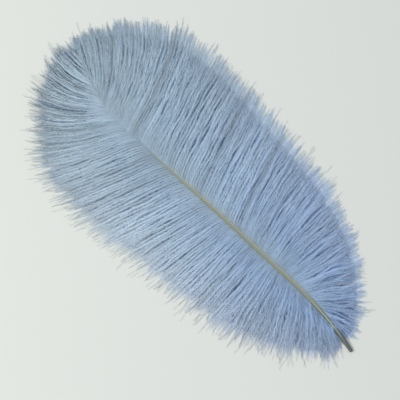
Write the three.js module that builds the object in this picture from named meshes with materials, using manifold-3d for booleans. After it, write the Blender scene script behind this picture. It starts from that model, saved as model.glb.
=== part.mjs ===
// An ostrich plume lying flat: one grown piece, a tapering shaft with a bare quill at one end and a
// broad soft vane of barbs on both sides. The barbs hang together in locks, each one solid here,
// and every lock is fused to the shaft it grows from.
//
// Millimetres, +Z up. The feather lies on the plane z = 0 with its convex side up, its quill end
// at -X and its tip at +X. The origin is the middle of its outline, on that plane.
import * as THREE from "three";
import { mergeVertices } from "three/addons/utils/BufferGeometryUtils.js";
import Module from "manifold-3d";

// The middle of the feather's outline in the drawing's own coordinates, which the stations below use.
const OUTLINE_MIDDLE = new THREE.Vector3(-2.85, -5.62, 0);

// Shaft: centreline from the cut end of the quill to the tip, as [x, y, z].
const SHAFT_LINE = [
  [-172, 0, 1.3],
  [-148, -4, 3.6],
  [-118, -6.1, 6.6],
  [-78, -5.1, 9.8],
  [-28, -3.3, 12],
  [26, -0.6, 12.6],
  [72, 2, 11.4],
  [101, 2.4, 9.2],
  [122, -3.5, 6.8],
  [138, -10.8, 4.6],
].map(([x, y, z]) => new THREE.Vector3(x, y, z));
const QUILL_RADIUS = 1.75;
const SHAFT_TIP_RADIUS = 0.45;
const SHAFT_HEIGHT_TO_WIDTH = 0.85;
const QUILL_END = 0.8; // the cut end's radius, as a share of the quill's
const QUILL_TAPER = 0.05; // share of the shaft's length over which it narrows to that
const SHAFT_SIDES = 8;
const SHAFT_STEPS = 20;

// Vane: how the barbs leave the shaft. Each station is [x on the shaft, angle, length and curl of the
// barbs on the +Y side, and the same three on the -Y side]. Angles are in degrees from +X, positive
// to +Y. The curl is how far a barb turns towards the feather's tip over its length, in degrees.
const STATIONS = [
  [-147, 163, 20, 0, -176, 16, 0],
  [-135, 154, 35, 0, -162, 30, 0],
  [-118, 140, 49, 0, -129, 44, 0],
  [-98, 120, 59, 0, -102, 62, -6],
  [-75, 96, 70, 0, -83, 78, -16],
  [-45, 90, 74, 0, -71, 89, -14],
  [-10, 75, 83, 0, -72, 94, 0],
  [30, 70, 89, 0, -72, 98, -10],
  [70, 66, 85, 12, -72, 98, 20],
  [98, 47, 66, 36, -63, 79, 40],
  [118, 20, 49, 52, -42, 51, 24],
  [130, 6, 35, 22, -18, 34, -10],
  [138, -3, 24, 8, -6, 24, -20],
];
const ROOT_LEAN = 14; // degrees by which a barb lies closer to the shaft where it leaves it
const ROOT_LEAN_SHARE = 0.12; // share of the barb's length over which that lean is lost
const BARB_STEPS = 32; // straight pieces of the line that a barb follows

// The barbs arch up from the shaft, come down and lie on z = 0 over the last part of their length.
const LANDING = 0.875; // share of a barb's length at which it is down
const ARCH = 3.2; // how high a long barb arches over the fall from its root to its landing
const FALL_POWER = 1.7;
const LYING_HEIGHT = 0.5;

// Locks: each is three lines of barbs, a crest, a lower shoulder and the furrow to the next lock. The
// two sides share their lines' roots on the shaft, and are out of step by one line.
const LOCKS_PER_SIDE = 34;
const LOCK_LINES = [
  { top: 1.5, reach: 1.03 }, // crest: height over the barbs' path, and share of their length it reaches
  { top: 0.7, reach: 0.985 },
  { top: -0.5, reach: 0.88 },
];
const ROOT_TOP = 0.3; // height of every line over the path where it leaves the shaft
const LOCK_RISE = 0.3; // share of its length over which a line comes to its own height
const TIP_TOP = 0.15; // height over the path at its tip
const LINE_STEPS = 8;
const BELLY = 1.1; // depth of the vane's underside below the path
const THINNEST = 0.6;
const LOCK_UNEVENNESS = 0.04; // share by which locks differ in length
const ROOT_DRIFT = 0.7; // how far a line's root strays from an even spacing
const ROOT_DEPTH = 0.35; // share of the shaft's radius by which the vane is rooted under its middle

const FEATHER_BLUE = 0x8fa9c4;

const radians = THREE.MathUtils.degToRad;
const mix = THREE.MathUtils.lerp;
const shaftCurve = new THREE.CatmullRomCurve3(SHAFT_LINE, false, "catmullrom", 0.5);

// A repeatable number from -1 to 1 for lock i, different for each purpose k.
function uneven(i, k) {
  const wave = Math.sin(i * 12.9898 + k * 78.233) * 43758.5453;
  return 2 * (wave - Math.floor(wave)) - 1;
}

// The curve's own parameter at which the shaft passes x. The shaft runs steadily towards +X.
function shaftParameterAt(x) {
  let low = 0;
  let high = 1;
  for (let step = 0; step < 30; step++) {
    const middle = (low + high) / 2;
    if (shaftCurve.getPoint(middle).x < x) low = middle;
    else high = middle;
  }
  return (low + high) / 2;
}

function shaftRadius(t) {
  const narrowing = mix(QUILL_END, 1, Math.min(1, t / QUILL_TAPER));
  return mix(QUILL_RADIUS, SHAFT_TIP_RADIUS, Math.pow(t, 1.25)) * narrowing;
}

// [angle, length, curl] of the barbs rooted at x, on side +1 (+Y) or -1 (-Y).
function barbAt(x, side) {
  const columns = side > 0 ? [1, 2, 3] : [4, 5, 6];
  const last = STATIONS.length - 1;
  let i = 0;
  while (i < last - 1 && STATIONS[i + 1][0] < x) i++;
  const [from, to] = [STATIONS[i], STATIONS[i + 1]];
  const share = THREE.MathUtils.clamp((x - from[0]) / (to[0] - from[0]), 0, 1);
  return columns.map((column) => mix(from[column], to[column], share));
}

// A box or cylinder with each of its points moved to at(x, y, z), as one closed surface.
function bent(shape, at) {
  shape.deleteAttribute("normal");
  shape.deleteAttribute("uv");
  const merged = mergeVertices(shape, 1e-5);
  const points = merged.attributes.position;
  for (let i = 0; i < points.count; i++) {
    const place = at(points.getX(i), points.getY(i), points.getZ(i));
    points.setXYZ(i, place.x, place.y, place.z);
  }
  return merged;
}

function shaftGeometry() {
  const cylinder = new THREE.CylinderGeometry(1, 1, 1, SHAFT_SIDES, SHAFT_STEPS);
  return bent(cylinder, (across, length, up) => {
    const t = length + 0.5;
    const along = shaftCurve.getTangent(t);
    const side = new THREE.Vector3(along.y, -along.x, 0).normalize();
    const top = new THREE.Vector3().crossVectors(side, along);
    return shaftCurve
      .getPoint(t)
      .addScaledVector(side, across * shaftRadius(t))
      .addScaledVector(top, up * shaftRadius(t) * SHAFT_HEIGHT_TO_WIDTH);
  });
}

// The path of a barb rooted at x: its points from root to tip, one more than BARB_STEPS.
function barbPath(x, side, lengthShare) {
  const rootAt = shaftParameterAt(x);
  const root = shaftCurve.getPoint(rootAt);
  const rootHeight = root.z - shaftRadius(rootAt) * ROOT_DEPTH;
  const [angle, length, curl] = barbAt(x, side);
  const step = (length * lengthShare) / BARB_STEPS;
  const place = new THREE.Vector2(root.x, root.y);
  return Array.from({ length: BARB_STEPS + 1 }, (_, i) => {
    const t = i / BARB_STEPS;
    const down = Math.min(1, t / LANDING);
    const arch = ARCH * Math.sin(Math.PI * down) * Math.min(1, length / 60);
    const height = mix(rootHeight, LYING_HEIGHT, Math.pow(down, FALL_POWER)) + arch;
    const point = new THREE.Vector3(place.x, place.y, height);
    const lean = ROOT_LEAN * Math.max(0, 1 - t / ROOT_LEAN_SHARE);
    const heading = radians(angle - side * (lean + curl * (t - 0.35)));
    place.x += Math.cos(heading) * step;
    place.y += Math.sin(heading) * step;
    return point;
  });
}

function lineTop(t, highest) {
  const own = mix(ROOT_TOP, highest, THREE.MathUtils.smoothstep(t, 0, LOCK_RISE));
  return mix(own, TIP_TOP, t * t);
}

// The whole vane: a slab whose lines run from the tips of the -Y side over the shaft to the tips of
// the +Y side, with crests and furrows on top and a ragged edge.
function vaneGeometry() {
  const lines = LOCKS_PER_SIDE * LOCK_LINES.length - 1;
  const [first, last] = [STATIONS[0][0], STATIONS[STATIONS.length - 1][0]];
  const line = (number, side) => {
    const outOfStep = side > 0 ? number : number + 1;
    const lock = Math.floor(outOfStep / LOCK_LINES.length);
    const { top, reach } = LOCK_LINES[outOfStep % LOCK_LINES.length];
    const share = number / lines;
    const even = mix(first, last, share - 0.045 * Math.sin(2 * Math.PI * share));
    const x = Math.min(last, even + ROOT_DRIFT * uneven(number, 7));
    return { top, path: barbPath(x, side, reach + LOCK_UNEVENNESS * uneven(lock, side)) };
  };
  const made = {};
  for (const side of [1, -1]) made[side] = Array.from({ length: lines + 1 }, (_, i) => line(i, side));

  const slab = new THREE.BoxGeometry(1, 1, 1, lines, 2 * LINE_STEPS, 1);
  return bent(slab, (length, across, up) => {
    const side = across > 0 ? 1 : -1;
    const t = Math.round(Math.abs(across) * 2 * LINE_STEPS) / LINE_STEPS;
    const { top, path } = made[side][Math.round((length + 0.5) * lines)];
    const point = path[Math.round(t * BARB_STEPS)].clone();
    const underside = Math.max(0, point.z - BELLY);
    point.z = up > 0 ? Math.max(point.z + lineTop(t, top), underside + THINNEST) : underside;
    return point;
  });
}

const wasm = await Module();
wasm.setup();

function solidOf(geometry) {
  return new wasm.Manifold(
    new wasm.Mesh({
      numProp: 3,
      vertProperties: new Float32Array(geometry.attributes.position.array),
      triVerts: new Uint32Array(geometry.index.array),
    }),
  );
}

function geometryOf(solid) {
  const mesh = solid.getMesh();
  return new THREE.BufferGeometry()
    .setAttribute("position", new THREE.BufferAttribute(mesh.vertProperties, 3))
    .setIndex(new THREE.BufferAttribute(mesh.triVerts, 1));
}

const feather = new THREE.Mesh(
  geometryOf(solidOf(vaneGeometry()).add(solidOf(shaftGeometry()))),
  new THREE.MeshStandardMaterial({ color: FEATHER_BLUE, roughness: 0.95, metalness: 0 }),
);
feather.name = "feather";
feather.position.copy(OUTLINE_MIDDLE).negate();

const plume = new THREE.Group();
plume.add(feather);

export default plume;
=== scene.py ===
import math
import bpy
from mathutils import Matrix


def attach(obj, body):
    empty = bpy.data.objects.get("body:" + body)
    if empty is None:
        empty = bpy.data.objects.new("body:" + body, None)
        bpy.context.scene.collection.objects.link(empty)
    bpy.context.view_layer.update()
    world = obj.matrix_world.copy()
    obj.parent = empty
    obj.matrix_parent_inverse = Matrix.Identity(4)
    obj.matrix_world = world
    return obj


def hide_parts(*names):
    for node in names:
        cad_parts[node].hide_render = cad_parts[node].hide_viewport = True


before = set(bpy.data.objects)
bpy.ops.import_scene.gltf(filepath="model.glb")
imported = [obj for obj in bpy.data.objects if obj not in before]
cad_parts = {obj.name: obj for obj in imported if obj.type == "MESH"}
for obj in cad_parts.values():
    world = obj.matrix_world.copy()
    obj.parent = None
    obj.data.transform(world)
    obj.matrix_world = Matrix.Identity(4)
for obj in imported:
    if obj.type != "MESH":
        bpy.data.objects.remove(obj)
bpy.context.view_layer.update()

# An ostrich plume lying on a table, in place of its plain solid: a horn shaft, and on each side of it
# several hundred barbs fringed with long loose barbules. Everything is in millimetres and in the
# drawing's own coordinates until a mesh is made.
from types import SimpleNamespace

import bpy
import numpy as np

MM = 0.001
OUTLINE_MIDDLE = np.array([-2.85, -5.62, 0.0])  # the row frame's origin, in the drawing's coordinates
SEED = 19

# Shaft, from the cut end of the quill to the tip: the centreline, as [x, y, z].
SHAFT_LINE = np.array([
    [-172, 0, 1.3],
    [-148, -4, 3.6],
    [-118, -6.1, 6.6],
    [-78, -5.1, 9.8],
    [-28, -3.3, 12],
    [26, -0.6, 12.6],
    [72, 2, 11.4],
    [101, 2.4, 9.2],
    [122, -3.5, 6.8],
    [138, -10.8, 4.6],
])
QUILL_RADIUS = 1.75
SHAFT_TIP_RADIUS = 0.45
QUILL_END = 0.8  # the cut end's radius, as a share of the quill's
QUILL_TAPER = 0.05  # share of the shaft's length over which it narrows to that
SHAFT_HEIGHT_TO_WIDTH = 0.85
SHAFT_STEPS = 140
SHAFT_STEP_GROWTH = 1.15  # over 1, so the steps are shorter at the quill
SHAFT_SIDES = 20

# The cut end of the quill, from the middle of its hole to the rim, as [share of the end's radius,
# how deep that lies in the shaft]. The first few rings, deep in the hole, are painted dark: painted shade.
QUILL_HOLE = np.array([[0.02, 2.5], [0.5, 2.5], [0.6, 0.3], [0.9, -0.12]])
HOLE_SHADE_RINGS = 3
HOLE_PAINTED_SHADE = 0.35

# The shaft's ridge, its flutes and its groove, each as (place, height, width). The place is 1 on top
# and -1 below, and the height a share of the radius. They begin between these shares of its length.
SHAFT_RELIEF = [(1, 0.1, 0.06), (0.72, -0.13, 0.12), (-1, -0.35, 0.12)]
RELIEF_START = (0.07, 0.12)

# Vane: [x on the shaft, angle, length and curl of the barbs on the +Y side, and the same three on
# the -Y side]. Angles are in degrees from +X, positive to +Y. The curl is how far a barb turns
# towards the feather's tip over its length, in degrees.
STATIONS = np.array([
    [-147, 163, 20, 0, -176, 16, 0],
    [-135, 154, 35, 0, -162, 30, 0],
    [-118, 140, 49, 0, -129, 44, 0],
    [-98, 120, 59, 0, -102, 62, -6],
    [-75, 96, 70, 0, -83, 78, -16],
    [-45, 90, 74, 0, -71, 89, -14],
    [-10, 75, 83, 0, -72, 94, 0],
    [30, 70, 89, 0, -72, 98, -10],
    [70, 66, 85, 12, -72, 98, 20],
    [98, 47, 66, 36, -63, 79, 40],
    [118, 20, 49, 52, -42, 51, 24],
    [130, 6, 35, 22, -18, 34, -10],
    [138, -3, 24, 8, -6, 24, -20],
])
ROOT_LEAN = 14  # degrees by which a barb lies closer to the shaft where it leaves it
ROOT_LEAN_SHARE = 0.12
CURL_FROM = 0.35  # share of a barb's length at which it has its station's angle
BARB_STEPS = 32
LANDING = 0.875  # share of a barb's length at which it lies on the table
ARCH = 3.2  # how high it arches over the fall from its root to there
FULL_ARCH_LENGTH = 60  # of the shortest barb that arches so much
FALL_POWER = 1.7
LYING_HEIGHT = 0.5
ROOT_DEPTH = 0.35
TABLE_CLEARANCE = 0.03

# Barbs, bunched into strands of a few and locks of several strands. Sideways measures are taken
# across the barbs at SPACED_AT, a share of their length.
FIELD_ROOTS = 500
SPACED_AT = 0.6
BARB_SPACING = 0.78
SPACING_UNEVENNESS = 0.35  # how far a barb strays from even spacing, as a share of it
STRAND_WIDTH = (1.6, 3.2)
LOCK_WIDTH = (6, 14)
MOST_BUNCHES = 400  # more strands or locks than a side has

# The share of its distance from the strand's middle that a barb loses, on each side, in the middle
# of the feather and at its tip, and of that from the lock's middle, in the middle of the feather and
# near the quill. The clasp of a strand, which multiplies both, has this mean and this wave.
STRAND_PULL = {1: (0.9, 0.8), -1: (0.45, 0.42)}
LOCK_PULL = {1: (0.06, 0.2), -1: (0.04, 0.3)}
CLASP = 0.75
CLASP_WAVE = (0.35, 25, 50)
BARB_CROSSING = 0.35  # how far a barb strays sideways by its end, besides

# How high the barbs lie over a smooth field, how much higher the middle of a lock and of a strand
# is than their edges, and how unevenly high the strands and the barbs lie.
LIFT = 0.9
LOCK_CROWN = 0.5
STRAND_CROWN = {1: 0.48, -1: 0.3}
STRAND_LIFT = {1: 0.3, -1: 0.2}
BARB_LIFT = 0.15

# One barb in so many lies loose under the others, at these heights. Its barbules are wider by this,
# its colour is this share of the others', a bluer painted shade, and its tone, darkened as painted shade,
# is given at the feather's base, middle and tip.
UNDER_EVERY = 3
UNDER_LIFT = (-2.6, -0.8)
UNDER_WIDTH = 1.7
UNDER_SHADE_HUE = (0.98, 1.04, 1.18)
UNDER_SHADE_TONE = {1: (0.84, 0.74, 0.73), -1: (0.8, 0.94, 0.94)}

# Stray barbs reach past the edge or cross their neighbours. They have fewer barbules.
STRAY_SHARE = {1: 0.12, -1: 0.07}
STRAY_REACH = {1: (-1, 6), -1: (-1, 4)}
STRAY_HAIR = (3, 8)
STRAY_CROSSING = 3
STRAY_LIFT = 0.5
STRAY_DOWNY_SHARE = 0.93  # of the downy share of others
STRAY_DENSITY = 0.6

# The edge. A barb ends at this share of its station's length, give or take these for its lock and for
# itself on each side, and a stray one by its own range. Bare hair follows. All but the share in mm.
REACH = 0.995
EDGE_UNEVENNESS = {1: (1.1, 2.3), -1: (0.8, 1.2)}
HAIR = {1: 3.2, -1: 2}
HAIR_LIMITS = (0.4, 6.5)
HOOK = {1: 1.6, -1: 0.8}  # how far a barb's end bends sideways with its hair

# At the feather's tip, over this stretch of x, the barbs stand closer and their strands cross.
CROWDED = (50, 120)
TIP_CROWDING = 0.5
TIP_CROSSING = 1.5

# Near the quill, less and less so over this stretch of x, the barbs are downy and lie anyhow: less
# crowned and less pulled together by these shares, and more uneven, more askew and more wavering.
LOOSE = (-135, -35)
LOOSE_CROWN = 0.6
LOOSE_PULL = 0.55
LOOSE_LIFT = 0.2
LOOSE_CROSSING = 0.6
LOOSE_WAVERING = 0.8
LOOSE_SPREAD = {1: 0.3, -1: 0}  # by how much their barbules are longer and stand off wider

# On the +Y side near the tip the barbs' ends curl up from the table, by this much around this x,
# times a share for each strand and each barb. They reach less far, and their outer parts are painted darker
# as painted shade.
CURL_UP = 5
CURLED = (88, 30)
CURL_OF_STRANDS = (0.1, 1)
CURL_OF_BARBS = (0.6, 1)
CURLED_SHORTER = 2.2
CURLED_PAINTED_SHADE = 0.1

# How barbs wander sideways and up, as [amplitude, shortest and longest wave]: with their strand, and
# each by itself. The strands of the +Y side lie straighter than the other side's.
STRAND_WAVES = [(0.5, 40, 75), (0.25, 18, 32)]
BARB_WAVES = [(0.22, 22, 45)]
LIFT_WAVES = [(0.35, 18, 40)]
WAVERING = {1: 0.7, -1: 0.9}

# Where these start and are complete along a barb, as shares of its length: its strand's bunching
# and the loss of most of it, its swaying and hooking, its lift and the loss of most of that, and
# its curl.
BUNCHING = (0.03, 0.38)
OPENING = (0.65, 0.97)
OPENED = 0.8
SWAYING = (0.04, 0.35)
HOOKING = (0.88, 1.1)
LIFTING = (0, 0.25)
SETTLING = (0.55, 1)
SETTLED = 0.85
CURLING = (0.6, 1.05)

# Towards the feather's tip the barbs' roots rise over the shaft and hide it, over this stretch of x.
COVERED = (0, 70)
COVERING = 1.2

# Ribs: the stems of the barbs and their bare hair.
RIB_STEPS = 24
RIB_STEP_GROWTH = 1.1  # over 1, so the steps are shorter at the root
RIB_WIDTH = 0.5
RIB_TIP_WIDTH = 0.2
RIB_RISE = 0.8  # its height, as a share of half its width
RIB_TONE = (1.0, 0.65)  # along the barb and of its bare hair
HAIR_START = (0.93, 1.02)

# Ribs within this share of a strand's half width from its middle are painted darker, as painted shade
# lines, and wider, and all the barbules there are shorter and lie closer to their barbs. Each side has this
# much of it at the feather's base and at its tip. The ribs' painted shade grows over this stretch of a
# barb's length.
DARK_RIBS_WITHIN = 0.35
DARK_RIBS = {1: (0, 1), -1: (0.4, 0)}
DARK_RIB_START = (0.05, 0.35)
SHADE_LINE_RIB_TONE = 0.24
DARK_RIB_WIDTH = 1.6
DARK_RIB_SPREAD = 0.15

# Barbules: thin blades of two steps along both sides of every barb. Each has a share of the angle,
# the length and the width, and its tilt and its roll are in radians, as a mean and a spread.
BARBULE_SPACING = 0.5
BARBULE_THINNING = 0.8  # under 1, so they stand wider apart towards the barb's end
FEWEST_BARBULES = 4  # on each side of a barb
FIRST_BARBULE = 0.015  # share of them that would leave nearer the root, and leave here instead
BARBULE_ANGLE = 28  # degrees from the barb
ANGLE_SHARES = (0.6, 1.35)
ENDING_ANGLE = 0.4  # share of its angle that the second step keeps
ENDING_UNEVENNESS = 0.12
BARBULE_TILT = (-0.3, 0.28)
BARBULE_ROLL = (0.35, 0.6)
BARBULE_LENGTH = 4.2
LENGTH_SHARES = (0.6, 1.15)
BARBULE_WIDTH = 0.26
WIDTH_SHARES = (0.7, 1.2)
MIDDLE_WIDTH = 0.8  # of a blade where it bends, as a share of its root's
DOWNY_SHARE = {1: (0.89, 0.98), -1: (0.94, 1.0)}  # share of a barb's length that has barbules

# They grow to their length over this first stretch of the barb, and change by these over its last.
INNER = (0, 0.15)
INNER_LENGTH = 0.55
OUTER = (0.75, 1)
OUTER_WIDTH = {1: 0.4, -1: 0.5}
OUTER_LENGTH = {1: 0.65, -1: 0.85}
OUTER_SPREAD = {1: 1.3, -1: 1.6}

# Each barb has its own strip of the layout for baking: the rib along its middle, and the five points
# of a barbule this far to one side of it, and this much further along.
RIB_STRIP = np.array([-0.1, 0, 0.1])
BARBULE_STRIP = np.array([0.12, 0.16, 0.27, 0.31, 0.46])
BARBULE_FURTHER = np.array([0, 0, 0.5, 0.5, 1]) * 0.03
BARBULE_FIT = 0.97  # share of the strip's length that the barbules' roots take

# How unevenly light the locks, strands, barbs and barbules are, and how much darker a strand's edges
# are painted than its middle: painted shade.
LOCK_TONES = 0.03
STRAND_TONES = 0.05
BARB_TONES = 0.03
BARBULE_TONES = 0.035
STRAND_EDGE_PAINTED_SHADE = 0.1

# The tone of each side, the -Y side, which the lamp leaves in shade, painted lighter as painted light;
# of the outer parts of its barbs; and of the roots where they hide the shaft, painted darker as painted
# shade in the valley between the vanes; with the shares of a barb's length over which the last two begin
# and end.
SIDE_PAINTED_LIGHT = {1: 1.02, -1: 1.08}
EDGE_TONE = {1: 1, -1: 0.94}
EDGE_START = (0.65, 0.88)
VALLEY_PAINTED_SHADE = 0.88
VALLEY_END = (0.02, 0.18)

# Over this stretch of x, towards the quill, each side is darkened by this tone, a painted shade. The barbs'
# inner parts get painted light, or painted shade if below 0, by the first of these at the quill and by the
# second at the feather's tip. That fades over this stretch of a barb's length.
QUILLWARD = (20, -150)
QUILLWARD_PAINTED_SHADE = {1: 0.82, -1: 0.97}
ROOT_PAINTED_LIGHT = {1: (0.22, 0.22), -1: (-0.08, -0.07)}
ROOT_PAINTED_LIGHT_END = (0.15, 0.7)

# The colour changes along each barb, and along the feather over this stretch of x.
ROOT_TINT = 0.05  # share of its length over which a barb beside the bare shaft is tinted grey-green
PALING = {1: 1, -1: 0.62}  # how far the barbs turn pale towards their ends, on each side
TIPWARD = (-140, 150)
TIPWARD_ALONG_BARB = 25  # how much further along the feather a barb's end counts than its root

rng = np.random.default_rng(SEED)


def smooth(value, low, high):
    share = np.clip((value - low) / (high - low), 0, 1)
    return share * share * (3 - 2 * share)


def mix(low, high, share):
    return low + (high - low) * share


def unit(vectors):
    return vectors / np.maximum(np.linalg.norm(vectors, axis=-1, keepdims=True), 1e-9)


def catmull_rom(points, t):
    """Points at shares t of the uniform Catmull-Rom curve through these points."""
    ends = np.vstack([2 * points[0] - points[1], points, 2 * points[-1] - points[-2]])
    place = np.clip(t, 0, 1) * (len(points) - 1)
    i = np.minimum(place.astype(int), len(points) - 2)
    w = (place - i)[:, None]
    before, start, end, after = (ends[i + k] for k in range(4))
    leave, arrive = (end - before) / 2, (after - start) / 2
    bend = 3 * (end - start) - 2 * leave - arrive
    return start + w * (leave + w * (bend + w * (leave + arrive - 2 * (end - start))))


SHAFT_T = np.linspace(0, 1, 4000)
SHAFT = catmull_rom(SHAFT_LINE, SHAFT_T)


def shaft_radius(t):
    narrowing = mix(QUILL_END, 1, np.minimum(1, t / QUILL_TAPER))
    return mix(QUILL_RADIUS, SHAFT_TIP_RADIUS, t**1.25) * narrowing


def columns(side):
    return (1, 2, 3) if side > 0 else (4, 5, 6)


def barb_field(side):
    """Where the barbs of a side would lie if they were combed smooth: points [root, step, xyz]."""
    x = np.linspace(STATIONS[0, 0], STATIONS[-1, 0], FIELD_ROOTS)
    angle, length, curl = (np.interp(x, STATIONS[:, 0], STATIONS[:, k]) for k in columns(side))
    t = np.arange(BARB_STEPS + 1) / BARB_STEPS
    lean = ROOT_LEAN * np.maximum(0, 1 - t / ROOT_LEAN_SHARE)
    heading = np.radians(angle[:, None] - side * (lean + curl[:, None] * (t - CURL_FROM)))
    run = np.stack([np.cos(heading), np.sin(heading)], -1) * (length / BARB_STEPS)[:, None, None]
    flat = np.cumsum(run, axis=1) - run
    root_t = np.interp(x, SHAFT[:, 0], SHAFT_T)
    root_y = np.interp(x, SHAFT[:, 0], SHAFT[:, 1])
    root_z = np.interp(x, SHAFT[:, 0], SHAFT[:, 2]) - shaft_radius(root_t) * ROOT_DEPTH
    down = np.minimum(1, t / LANDING)
    arch = ARCH * np.sin(np.pi * down) * np.minimum(1, length / FULL_ARCH_LENGTH)[:, None]
    height = mix(root_z[:, None], LYING_HEIGHT, down**FALL_POWER) + arch
    return np.dstack([x[:, None] + flat[..., 0], root_y[:, None] + flat[..., 1], height])


def places_along(field):
    """How far along the vane each root of the field is, measured across the barbs at SPACED_AT."""
    j = round(SPACED_AT * BARB_STEPS)
    barb = unit(field[:, j + 1, :2] - field[:, j - 1, :2])[:-1]
    step = np.diff(field[:, j, :2], axis=0)
    across = np.abs(step[:, 0] * barb[:, 1] - step[:, 1] * barb[:, 0])
    crowding = 1 + TIP_CROWDING * smooth(field[:-1, 0, 0], *CROWDED)
    return np.concatenate([[0], np.cumsum(across * crowding)])


def on_field(field, row, t):
    """Points of the field at these rows and shares t of the length, which may run past 1."""
    row = np.clip(row, 0, FIELD_ROOTS - 1.001)
    column = t * BARB_STEPS
    i, j = row.astype(int), np.clip(column.astype(int), 0, BARB_STEPS - 1)
    u, v = (row - i)[:, None], (column - j)[:, None]
    near = mix(field[i, j], field[i, j + 1], v)
    far = mix(field[i + 1, j], field[i + 1, j + 1], v)
    return mix(near, far, u)


def bunches(along, width):
    """Cuts a side into uneven stretches: the number and the middle of the one each place is in."""
    cuts = -width[0] / 2 + np.cumsum(rng.uniform(*width, MOST_BUNCHES))
    number = np.searchsorted(cuts, along)
    return number, (cuts[number] + cuts[np.maximum(number - 1, 0)]) / 2


def bunch_by_bunch(spread, bunch):
    """A random number around 0 for each barb, the same for all barbs of a bunch."""
    return rng.normal(0, spread, MOST_BUNCHES)[bunch]


def make_barbs(side):
    """All barbs of a side: arrays with a value for each barb, and what they share."""
    field = barb_field(side)
    row_places = places_along(field)
    count = int(row_places[-1] / BARB_SPACING)
    astray = rng.uniform(-SPACING_UNEVENNESS, SPACING_UNEVENNESS, count)
    along = (np.arange(count) + 0.5 + astray) / count * row_places[-1]
    x_run = np.linspace(0, np.ptp(STATIONS[:, 0]), FIELD_ROOTS)
    x = STATIONS[0, 0] + np.interp(along, row_places, x_run)
    strand, strand_middle = bunches(along, STRAND_WIDTH)
    lock, lock_middle = bunches(along, LOCK_WIDTH)
    off_strand = np.clip(np.abs(along - strand_middle) / (sum(STRAND_WIDTH) / 4), 0, 1)
    off_lock = np.clip(np.abs(along - lock_middle) / (sum(LOCK_WIDTH) / 4), 0, 1)
    own = np.arange(count)
    loose, crowded = 1 - smooth(x, *LOOSE), smooth(x, *CROWDED)
    curled = np.exp(-(((x - CURLED[0]) / CURLED[1]) ** 2)) * (side > 0)
    under = own % UNDER_EVERY == 0
    stray = (rng.random(count) < STRAY_SHARE[side]) & ~under
    strand_tone = bunch_by_bunch(STRAND_TONES, strand)
    lock_tone = bunch_by_bunch(LOCK_TONES, lock)

    full_length = np.interp(x, STATIONS[:, 0], STATIONS[:, columns(side)[1]])
    of_locks, of_barbs = EDGE_UNEVENNESS[side]
    past = bunch_by_bunch(of_locks, lock) + rng.normal(0, of_barbs, count) - off_lock**2
    shortest, longest = STRAY_REACH[side]
    past = np.where(stray, rng.uniform(shortest, longest, count), np.minimum(past, longest))
    reach = REACH + (past - CURLED_SHORTER * curled) / full_length
    hair = np.abs(rng.normal(0, HAIR[side], count)).clip(*HAIR_LIMITS)
    hair = np.where(stray, rng.uniform(*STRAY_HAIR, count), hair)

    crown = STRAND_CROWN[side] * (1 - LOOSE_CROWN * loose) * (0.5 - off_strand**2)
    uneven = bunch_by_bunch(STRAND_LIFT[side], strand)
    uneven += rng.normal(0, BARB_LIFT + LOOSE_LIFT * loose, count)
    lift = LIFT - LOCK_CROWN * off_lock**2 + crown + uneven
    pull = mix(*STRAND_PULL[side], crowded) * (1 - LOOSE_PULL * loose) * (strand_middle - along)
    pull += mix(*LOCK_PULL[side], loose) * (lock_middle - along)
    cross = rng.normal(0, BARB_CROSSING + LOOSE_CROSSING * loose)
    cross += bunch_by_bunch(TIP_CROSSING, strand) * crowded

    shade_line = (off_strand < DARK_RIBS_WITHIN) & ~under
    dark_at_base, dark_at_tip = DARK_RIBS[side]
    lined = dark_at_base * loose + dark_at_tip * crowded
    quillward = smooth(x, *QUILLWARD)
    light_at_base, light_at_tip = ROOT_PAINTED_LIGHT[side]
    at_base, at_middle, at_tip = UNDER_SHADE_TONE[side]
    tone = 1 + strand_tone + lock_tone + rng.normal(0, BARB_TONES, count)
    tone -= STRAND_EDGE_PAINTED_SHADE * off_strand**2
    tone *= np.where(under, mix(mix(at_middle, at_base, loose), at_tip, crowded), 1)
    return SimpleNamespace(
        count=count,
        field=field,
        row_places=row_places,
        along=along,
        x=x,
        under=under,
        pull=np.where(under, 0, pull),
        clasp=[wave(*CLASP_WAVE, strand)],
        cross=np.where(stray, rng.normal(0, STRAY_CROSSING, count), cross * ~under),
        hook=rng.normal(0, HOOK[side], count),
        wavering=WAVERING[side] * (1 + LOOSE_WAVERING * loose) * ~under,
        sway=[wave(*w, strand) for w in STRAND_WAVES] + [wave(*w, own) for w in BARB_WAVES],
        ripple=[wave(*w, own) for w in LIFT_WAVES],
        reach=reach,
        end=1 + hair / full_length,
        lift=np.where(under, rng.uniform(*UNDER_LIFT, count), lift + STRAY_LIFT * stray),
        curl_up=(CURL_UP * curled * rng.uniform(*CURL_OF_STRANDS, MOST_BUNCHES)[strand]
                 * rng.uniform(*CURL_OF_BARBS, count)),
        length=full_length * reach,
        tone=tone * SIDE_PAINTED_LIGHT[side] * mix(1, QUILLWARD_PAINTED_SHADE[side], quillward),
        root_painted_light=1 + light_at_base * quillward + light_at_tip * crowded,
        paling=PALING[side],
        rib_shade_line_tone=np.where(shade_line, mix(1, SHADE_LINE_RIB_TONE, lined), 1),
        rib_width=RIB_WIDTH * np.where(shade_line, mix(1, DARK_RIB_WIDTH, lined), 1),
        edge_tone=EDGE_TONE[side] * (1 - CURLED_PAINTED_SHADE * curled),
        downy=rng.uniform(*DOWNY_SHARE[side], count) * np.where(stray, STRAY_DOWNY_SHARE, 1),
        density=np.where(stray, STRAY_DENSITY, 1),
        spread=1 + LOOSE_SPREAD[side] * loose - DARK_RIB_SPREAD * lined * ~under,
        width=BARBULE_WIDTH * np.where(under, UNDER_WIDTH, 1),
        outer_width=OUTER_WIDTH[side],
        outer_length=OUTER_LENGTH[side],
        outer_spread=OUTER_SPREAD[side],
    )


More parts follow.
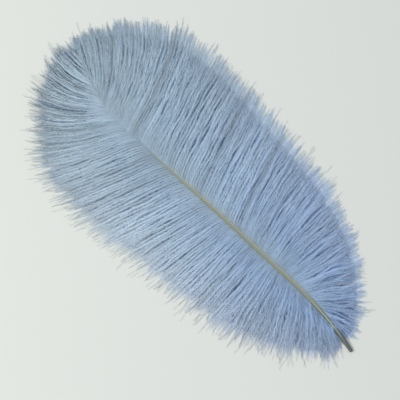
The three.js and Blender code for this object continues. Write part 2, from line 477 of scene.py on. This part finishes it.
def wave(amplitude, shortest, longest, group):
    """A wave for each barb, the same for all barbs of a group: amplitude, phase and pace."""
    number = group.max() + 1
    phase = rng.uniform(0, 2 * np.pi, number)[group]
    pace = 2 * np.pi / rng.uniform(shortest, longest, number)[group]
    return amplitude, phase, pace


def wander(waves, who, distance):
    """The sum of these waves at these distances from the roots of the barbs numbered who."""
    return sum(amplitude * np.sin(phase[who] + pace[who] * distance) for amplitude, phase, pace in waves)


def place(barbs, who, t):
    """Points at shares t of the barbs numbered who. A strand is tightest around its middle."""
    distance = t * barbs.length[who]
    bunching = smooth(t, *BUNCHING) * (1 - OPENED * smooth(t, *OPENING))
    bunching *= CLASP + wander(barbs.clasp, who, distance)
    sway = wander(barbs.sway, who, distance) * barbs.wavering[who] * smooth(t, *SWAYING)
    along = barbs.along[who] + barbs.pull[who] * bunching + barbs.cross[who] * t + sway
    along += barbs.hook[who] * smooth(t, *HOOKING)
    row = np.interp(along, barbs.row_places, np.arange(FIELD_ROOTS))
    points = on_field(barbs.field, row, t * barbs.reach[who])
    lift = (barbs.lift[who] + wander(barbs.ripple, who, distance)) * smooth(t, *LIFTING)
    settled = lift * (1 - SETTLED * smooth(t, *SETTLING))
    points[:, 2] += settled + barbs.curl_up[who] * smooth(t, *CURLING)
    points[:, 2] += COVERING * smooth(barbs.x[who], *COVERED) * (1 - smooth(t, *LIFTING))
    points[:, 2] = np.maximum(points[:, 2], TABLE_CLEARANCE + 0.1)
    return points


def directions(barbs, who, t):
    """Along each barb, level across it, and up from both, at shares t."""
    step = 0.012
    along = unit(place(barbs, who, t + step) - place(barbs, who, np.maximum(t - step, 0)))
    across = unit(np.stack([-along[:, 1], along[:, 0], np.zeros(len(t))], -1))
    return along, across, np.cross(along, across)


def shades(barbs, who, t):
    """What the material reads at shares t: how far out, how near the feather's tip, tone with its painted
    light and painted shade, if under.
    """
    covered = smooth(barbs.x[who], *COVERED)
    valley = covered * (1 - smooth(t, *VALLEY_END))
    tone = barbs.tone[who] * mix(1, VALLEY_PAINTED_SHADE, valley)
    tone *= mix(1, barbs.edge_tone[who], smooth(t, *EDGE_START))
    tone *= mix(barbs.root_painted_light[who], 1, smooth(t, *ROOT_PAINTED_LIGHT_END))
    from_quill = barbs.x[who] + TIPWARD_ALONG_BARB * t - TIPWARD[0]
    return np.stack([
        np.maximum(t * barbs.reach[who] * barbs.paling, ROOT_TINT * covered),
        np.clip(from_quill / (TIPWARD[1] - TIPWARD[0]), 0, 1),
        tone,
        barbs.under[who],
    ], -1)


def ribs(barbs, chosen):
    """The barbs' own stems: a low roof along each, tapering to its tip."""
    rings = RIB_STEPS + 1
    who = np.repeat(chosen, rings)
    share = np.tile(np.linspace(0, 1, rings) ** RIB_STEP_GROWTH, len(chosen))
    t = share * barbs.end[who]
    centre = place(barbs, who, t)
    _, across, up = directions(barbs, who, t)
    half = mix(barbs.rib_width[who], RIB_TIP_WIDTH, np.minimum(1, t) ** 1.5)[:, None] / 2
    points = np.stack([centre - across * half, centre + up * half * RIB_RISE, centre + across * half], 1)
    first = (np.arange(len(chosen))[:, None] * rings + np.arange(RIB_STEPS)).ravel() * 3
    cell = np.array([[0, 1, 4], [0, 4, 3], [1, 2, 5], [1, 5, 4]])
    triangles = (first[:, None, None] + cell).reshape(-1, 3)
    row = np.repeat(np.arange(len(chosen)), rings) + 0.5
    rise = (row[:, None] + RIB_STRIP).ravel() / len(chosen)
    uv = np.stack([np.repeat(share, 3), rise], -1)
    shade = shades(barbs, who, t)
    shade_line = mix(1, barbs.rib_shade_line_tone[who], smooth(t, *DARK_RIB_START))
    shade[:, 2] *= shade_line * mix(*RIB_TONE, smooth(t, *HAIR_START))
    return points.reshape(-1, 3), triangles, np.repeat(shade, 3, axis=0), uv


def barbules(barbs, chosen):
    """Blades of two bent steps that leave the barbs forwards on both sides."""
    room = barbs.length[chosen] * barbs.density[chosen] / BARBULE_SPACING
    counts = np.maximum(FEWEST_BARBULES, room).astype(int) * 2
    who = np.repeat(chosen, counts)
    number = np.arange(len(who)) - np.repeat(np.cumsum(counts) - counts, counts)
    size = len(who)
    share = np.clip((number + rng.uniform(0, 2, size)) / np.repeat(counts, counts), FIRST_BARBULE, 1)
    t = (1 - (1 - share) ** BARBULE_THINNING) * barbs.downy[who]
    hand = np.where(number % 2, 1.0, -1.0)
    along, across, up = directions(barbs, who, t)

    outer = smooth(t, *OUTER)
    angle = np.radians(BARBULE_ANGLE) * rng.uniform(*ANGLE_SHARES, size) * barbs.spread[who]
    angle *= mix(1, barbs.outer_spread, outer)
    tilt = rng.normal(*BARBULE_TILT, size)
    length = BARBULE_LENGTH * rng.uniform(*LENGTH_SHARES, size) * barbs.spread[who]
    length *= mix(INNER_LENGTH, 1, smooth(t, *INNER)) * mix(1, barbs.outer_length, outer)
    width = barbs.width[who] * rng.uniform(*WIDTH_SHARES, size) * mix(1, barbs.outer_width, outer)
    outward = across * (hand * np.cos(tilt))[:, None] + up * np.sin(tilt)[:, None]
    leaving = along * np.cos(angle)[:, None] + outward * np.sin(angle)[:, None]
    kept = angle * ENDING_ANGLE
    ending = unit(along * np.cos(kept)[:, None] + outward * np.sin(kept)[:, None]
                  + rng.normal(0, ENDING_UNEVENNESS, (size, 3)))
    root = place(barbs, who, t)
    middle = root + leaving * (length * 0.5)[:, None]
    tip = middle + ending * (length * 0.5)[:, None]

    mean_roll, roll_spread = BARBULE_ROLL
    roll = rng.normal(0, roll_spread, size) + hand * mean_roll
    facing = up * np.cos(roll)[:, None] + outward * np.sin(roll)[:, None]
    half = unit(np.cross(leaving, facing)) * (width / 2)[:, None]
    bend = half * MIDDLE_WIDTH
    points = np.stack([root - half, root + half, middle - bend, middle + bend, tip], 1)
    points[..., 2] = np.maximum(points[..., 2], TABLE_CLEARANCE)

    first = np.arange(size)[:, None, None] * 5
    triangles = (first + np.array([[0, 1, 3], [0, 3, 2], [2, 3, 4]])).reshape(-1, 3)
    shade = shades(barbs, who, t)
    shade[:, 2] += rng.normal(0, BARBULE_TONES, size)
    row = np.searchsorted(chosen, who) + 0.5
    uv = np.stack([
        np.minimum(t[:, None] * BARBULE_FIT + BARBULE_FURTHER, 1),
        (row[:, None] + hand[:, None] * BARBULE_STRIP) / len(chosen),
    ], -1)
    return points.reshape(-1, 3), triangles, np.repeat(shade, 5, axis=0), uv.reshape(-1, 2)


def joined(*parts):
    """One set of points, triangles, shades and layout places from several."""
    points, triangles, shade, uv = zip(*parts)
    starts = np.cumsum([0] + [len(p) for p in points[:-1]])
    triangles = np.concatenate([t + start for t, start in zip(triangles, starts)])
    return np.concatenate(points), triangles, np.concatenate(shade), np.concatenate(uv)


def piece(name, made, labels, material):
    """A mesh object of the feather, with its shades as attributes and its layout for baking."""
    points, triangles, shade, uv = made
    mesh = bpy.data.meshes.new(name)
    mesh.vertices.add(len(points))
    mesh.vertices.foreach_set("co", ((points - OUTLINE_MIDDLE) * MM).astype(np.float32).ravel())
    mesh.loops.add(triangles.size)
    mesh.loops.foreach_set("vertex_index", triangles.astype(np.int32).ravel())
    mesh.polygons.add(len(triangles))
    mesh.polygons.foreach_set("loop_start", np.arange(0, triangles.size, 3, dtype=np.int32))
    mesh.polygons.foreach_set("use_smooth", np.ones(len(triangles), dtype=bool))
    mesh.update(calc_edges=True)
    for label, column in zip(labels, shade.T):
        values = mesh.attributes.new(label, "FLOAT", "POINT")
        values.data.foreach_set("value", column.astype(np.float32))
    layout = mesh.uv_layers.new(name="OFBake")
    layout.data.foreach_set("uv", uv[triangles.ravel()].astype(np.float32).ravel())
    mesh.materials.append(material)
    made_object = bpy.data.objects.new(name, mesh)
    bpy.context.scene.collection.objects.link(made_object)
    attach(made_object, "root")
    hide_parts("feather")


def shaft_mesh():
    """The shaft: ridged and fluted on top, grooved below, and hollow at the cut end."""
    t = np.linspace(0, 1, SHAFT_STEPS + 1) ** SHAFT_STEP_GROWTH
    centre = catmull_rom(SHAFT_LINE, t)
    along = unit(catmull_rom(SHAFT_LINE, t + 0.002) - catmull_rom(SHAFT_LINE, t - 0.002))
    across = unit(np.stack([-along[:, 1], along[:, 0], np.zeros(len(t))], -1))
    up = np.cross(along, across)
    radius = shaft_radius(t)
    # The rings run from the hole's bottom to the cut end, and outside from there to the tip.
    hole = len(QUILL_HOLE)
    centre, along, across, up = (
        np.vstack([np.repeat(rings[:1], hole, axis=0), rings]) for rings in (centre, along, across, up)
    )
    radius = np.concatenate([QUILL_HOLE[:, 0] * radius[0], radius])
    depth = np.concatenate([QUILL_HOLE[:, 1], np.zeros(len(t))])
    t = np.concatenate([np.zeros(hole), t])
    centre = centre + along * depth[:, None]

    around = np.linspace(0, 2 * np.pi, SHAFT_SIDES + 1)
    relief = sum(
        height * np.exp(-((np.cos(around) - spot) / width) ** 2) for spot, height, width in SHAFT_RELIEF
    )
    section = radius[:, None] * (1 + smooth(t, *RELIEF_START)[:, None] * relief)
    points = (
        centre[:, None]
        + across[:, None] * (section * np.sin(around))[..., None]
        + up[:, None] * (section * np.cos(around) * SHAFT_HEIGHT_TO_WIDTH)[..., None]
    )
    rows, columns = len(t), SHAFT_SIDES + 1
    corner = (np.arange(rows - 1)[:, None] * columns + np.arange(SHAFT_SIDES)).ravel()
    cell = np.array([[0, 1, columns + 1], [0, columns + 1, columns]])
    triangles = (corner[:, None, None] + cell).reshape(-1, 3)
    order = np.linspace(0, 1, rows)
    # Shades: share of the length, how near the top, across from the +Y flank (0) to the -Y flank (1), which
    # the material uses for painted light and shade, and tone.
    shade = np.stack([
        np.repeat(t, columns),
        np.tile(np.cos(around), rows),
        np.tile(0.5 - 0.5 * np.sin(around), rows),
        # Painted shade: the rings deep in the quill's hole are darkened.
        np.repeat(np.where(np.arange(rows) < HOLE_SHADE_RINGS, HOLE_PAINTED_SHADE, 1.0), columns),
    ], -1)
    uv = np.stack([np.repeat(order, columns), np.tile(around / (2 * np.pi), rows)], -1)
    tip = len(points.reshape(-1, 3)) - columns
    end = np.stack([np.full(SHAFT_SIDES - 1, tip), tip + 1 + np.arange(SHAFT_SIDES - 1),
                    tip + 2 + np.arange(SHAFT_SIDES - 1)], -1)
    return points.reshape(-1, 3), np.concatenate([triangles, end]), shade, uv


# Materials.

def attribute(tree, label):
    made = tree.nodes.new("ShaderNodeAttribute")
    made.attribute_name = label
    return made.outputs["Fac"]


def ramp(tree, value, stops):
    """A colour that follows value through these stops, each as (position, colour)."""
    made = tree.nodes.new("ShaderNodeValToRGB")
    elements = made.color_ramp.elements
    while len(elements) < len(stops):
        elements.new(0.5)
    for element, (position, colour) in zip(elements, stops):
        element.position = position
        element.color = (*colour, 1)
    tree.links.new(value, made.inputs["Fac"])
    return made.outputs["Color"]


def blend(tree, kind, share, first, second):
    """The first colour mixed with or multiplied by the second. Each of the three is a value or a socket."""
    made = tree.nodes.new("ShaderNodeMix")
    made.data_type = "RGBA"
    made.blend_type = kind
    for socket, value in ((made.inputs[0], share), (made.inputs[6], first), (made.inputs[7], second)):
        if isinstance(value, bpy.types.NodeSocket):
            tree.links.new(value, socket)
        else:
            socket.default_value = value
    return made.outputs[2]


def srgb(red, green, blue):
    """Linear colour of an sRGB one given from 0 to 255."""
    return tuple(
        c / 12.92 if c <= 0.04045 else ((c + 0.055) / 1.055) ** 2.4
        for c in (red / 255, green / 255, blue / 255)
    )


def new_material(name):
    made = bpy.data.materials.new(name)
    made.use_nodes = True
    return made, made.node_tree, made.node_tree.nodes["Principled BSDF"]


def vane_material():
    made, tree, surface = new_material("vane")
    side = ramp(tree, attribute(tree, "outward"), [
        (0.0, srgb(168, 180, 172)),
        (ROOT_TINT, srgb(177, 199, 216)),
        (0.2, srgb(186, 209, 230)),
        (0.6, srgb(206, 225, 240)),
        (0.85, srgb(223, 236, 246)),
        (1.0, srgb(243, 247, 247)),
    ])
    greyed = ramp(tree, attribute(tree, "tipward"), [(0.3, (0,) * 3), (1.0, (0.9,) * 3)])
    colour = blend(tree, "MIX", greyed, side, (*srgb(180, 198, 206), 1))
    dye = ramp(tree, attribute(tree, "tipward"), [(0.0, (0.83, 0.875, 0.99)), (0.5, (0.97, 0.98, 0.99))])
    dyed = blend(tree, "MULTIPLY", 1.0, colour, dye)
    # The tone holds uneven tone together with painted light and painted shade.
    toned = blend(tree, "MULTIPLY", 1.0, dyed, attribute(tree, "tone"))
    # Painted shade: the barbs under the others are tinted bluer.
    under_painted_shade = blend(tree, "MULTIPLY", attribute(tree, "under"), toned, (*UNDER_SHADE_HUE, 1))
    tree.links.new(under_painted_shade, surface.inputs["Base Color"])
    surface.inputs["Roughness"].default_value = 0.8
    surface.inputs["Specular IOR Level"].default_value = 0.25
    return made


def shaft_material():
    made, tree, surface = new_material("shaft")
    across = attribute(tree, "across")
    # The shaft's own olive and cream streaks, with painted light: its -Y flank painted pale as lit and its
    # +Y flank painted dark as shaded.
    slender_streaks_and_painted_light = ramp(tree, across, [
        (0.0, srgb(106, 114, 94)),
        (0.15, srgb(126, 136, 112)),
        (0.38, srgb(174, 178, 150)),
        (0.58, srgb(108, 110, 84)),
        (0.7, srgb(152, 152, 122)),
        (0.84, srgb(246, 244, 216)),
        (1.0, srgb(236, 234, 206)),
    ])
    # Where the shaft is stouter: its own olive colour, with a painted highlight along its middle and
    # painted shade on both flanks.
    stout_colour_and_painted_light = ramp(tree, across, [
        (0.0, srgb(88, 102, 82)),
        (0.2, srgb(98, 112, 90)),
        (0.42, srgb(172, 180, 152)),
        (0.6, srgb(206, 208, 178)),
        (0.8, srgb(104, 120, 94)),
        (1.0, srgb(84, 100, 82)),
    ])
    along = attribute(tree, "length")
    slender = ramp(tree, along, [(0.12, (0,) * 3), (0.26, (1,) * 3)])
    streaked = blend(tree, "MIX", slender, stout_colour_and_painted_light, slender_streaks_and_painted_light)
    upper = ramp(tree, attribute(tree, "top"), [(0.0, (0,) * 3), (0.15, (1,) * 3)])
    top = blend(tree, "MIX", upper, (*srgb(138, 144, 124), 1), streaked)
    bare = ramp(tree, along, [(0.0, (0.95,) * 3), (0.06, (0.85,) * 3), (0.13, (0,) * 3)])
    horn = blend(tree, "MIX", bare, top, (*srgb(92, 101, 94), 1))
    dyed = ramp(tree, along, [(0.0, (0,) * 3), (0.5, (0,) * 3), (0.72, (0.75,) * 3), (1.0, (1,) * 3)])
    colour = blend(tree, "MIX", dyed, horn, (*srgb(136, 154, 170), 1))
    toned = blend(tree, "MULTIPLY", 1.0, colour, attribute(tree, "tone"))
    tree.links.new(toned, surface.inputs["Base Color"])
    surface.inputs["Roughness"].default_value = 0.42
    return made


# The feather.

vane = vane_material()
for side, side_name in ((1, "left"), (-1, "right")):
    barbs = make_barbs(side)
    cuts = np.array_split(np.arange(barbs.count), 3)
    for chosen, where in zip(cuts, ("base", "middle", "tip")):
        made = joined(ribs(barbs, chosen), barbules(barbs, chosen))
        piece(f"vane_{side_name}_{where}", made, ("outward", "tipward", "tone", "under"), vane)
piece("shaft", shaft_mesh(), ("length", "top", "across", "tone"), shaft_material())

# Table, light and camera, in metres. The light comes from the +Y side and the tip. The camera looks
# straight down, with the feather's tip towards the picture's upper left corner.

bpy.context.scene.view_settings.view_transform = "Standard"

bpy.ops.mesh.primitive_plane_add(size=6)
table = bpy.context.object
table.name = "table"
paper, _, paper_surface = new_material("table")
paper_surface.inputs["Base Color"].default_value = (*srgb(231, 233, 223), 1)
paper_surface.inputs["Roughness"].default_value = 0.9
table.data.materials.append(paper)

world = bpy.data.worlds.new("studio")
world.use_nodes = True
world.node_tree.nodes["Background"].inputs["Color"].default_value = (0.86, 0.92, 1.09, 1)
world.node_tree.nodes["Background"].inputs["Strength"].default_value = 0.55
bpy.context.scene.world = world

KEY_AZIMUTH = math.radians(52)
KEY_HEIGHT = math.radians(50)
KEY_DISTANCE = 2.2
KEY_SIZE = 1.1
KEY_POWER = 28
key_data = bpy.data.lights.new("key", "AREA")
key_data.shape = "DISK"
key_data.size = KEY_SIZE
key_data.energy = KEY_POWER
key_data.color = (1.0, 0.98, 0.89)
key = bpy.data.objects.new("key", key_data)
key.location = (
    KEY_DISTANCE * math.cos(KEY_HEIGHT) * math.cos(KEY_AZIMUTH),
    KEY_DISTANCE * math.cos(KEY_HEIGHT) * math.sin(KEY_AZIMUTH),
    KEY_DISTANCE * math.sin(KEY_HEIGHT),
)
key.rotation_euler = key.location.to_track_quat("Z", "Y").to_euler()
bpy.context.scene.collection.objects.link(key)

SENSOR_WIDTH = 36
PICTURE_WIDTH = 0.32
PICTURE_LEVEL = 0.008  # height over the table at which the picture is that wide
CAMERA_DISTANCE = 1.6
CAMERA_TURN = math.radians(225)
camera_data = bpy.data.cameras.new("camera")
camera_data.type = "PERSP"
camera_data.sensor_width = SENSOR_WIDTH
camera_data.lens = SENSOR_WIDTH * CAMERA_DISTANCE / PICTURE_WIDTH
camera = bpy.data.objects.new("camera", camera_data)
camera.location = (*(-OUTLINE_MIDDLE[:2] * MM), CAMERA_DISTANCE + PICTURE_LEVEL)
camera.rotation_euler = (0, 0, CAMERA_TURN)
bpy.context.scene.collection.objects.link(camera)
bpy.context.scene.camera = camera
